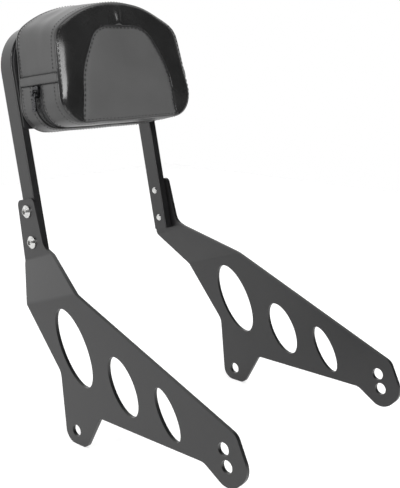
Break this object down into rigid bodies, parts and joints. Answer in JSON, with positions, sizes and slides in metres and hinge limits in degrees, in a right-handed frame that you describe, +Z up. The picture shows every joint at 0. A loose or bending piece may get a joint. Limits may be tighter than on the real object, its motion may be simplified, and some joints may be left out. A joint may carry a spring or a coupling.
{
  "type": "motorcycle backrest",
  "caption": "Upholstered passenger backrest pad on a leaning flat-bar hoop, bolted to jogged steel side plates with oval cut-outs that straddle a motorcycle's rear fender.",
  "frame": {"origin": "midway between the two rear lug holes, on their shared axis", "axes": "+X across the bike to the rider's left, -Y towards the front of the bike, so that the pad faces -Y, +Z up"},
  "size_m": [0.257, 0.3892, 0.4546],
  "materials": {
    "frame_black": "satin black powder coat",
    "fastener_zinc": "bright zinc plate",
    "board_wood": "bare plywood",
    "foam": "open-cell upholstery foam",
    "gusset_leather": "smooth satin",
    "rim_leather": "smooth gloss",
    "insert_leather": "fine grained, matte",
    "zipper_cloth": "woven tape with a moulded coil",
    "zipper_metal": "black nickel plate"
  },
  "bodies": {
    "backrest": {"side_plate_right": "frame_black", "side_plate_left": "frame_black", "upright_hoop": "frame_black", "pad_back_plate": "frame_black", "upright_bolts": "fastener_zinc", "pad_bolts": "fastener_zinc", "pad_washers": "fastener_zinc", "pad_tee_nuts": "fastener_zinc", "pad_base_board": "board_wood", "pad_foam": "foam", "cover_back_panel": "gusset_leather", "cover_rim_panel": "rim_leather", "cover_insert_panel": "insert_leather", "cover_top_gusset": "gusset_leather", "cover_lower_gusset_rear": "gusset_leather", "cover_lower_gusset_front": "gusset_leather", "zip_end_bands": "gusset_leather", "zipper_tape": "zipper_cloth", "zipper_slider": "zipper_metal"},
    "pull": {"zipper_pull": "zipper_metal"}
  },
  "joints": [
    {"name": "zipper_pull_hinge", "type": "hinge", "parent": "backrest", "child": "pull", "pos_m": [-0.10102, 0.08758, 0.3461], "axis": [0, 1, 0], "range_deg": [0, 150]}
  ]
}
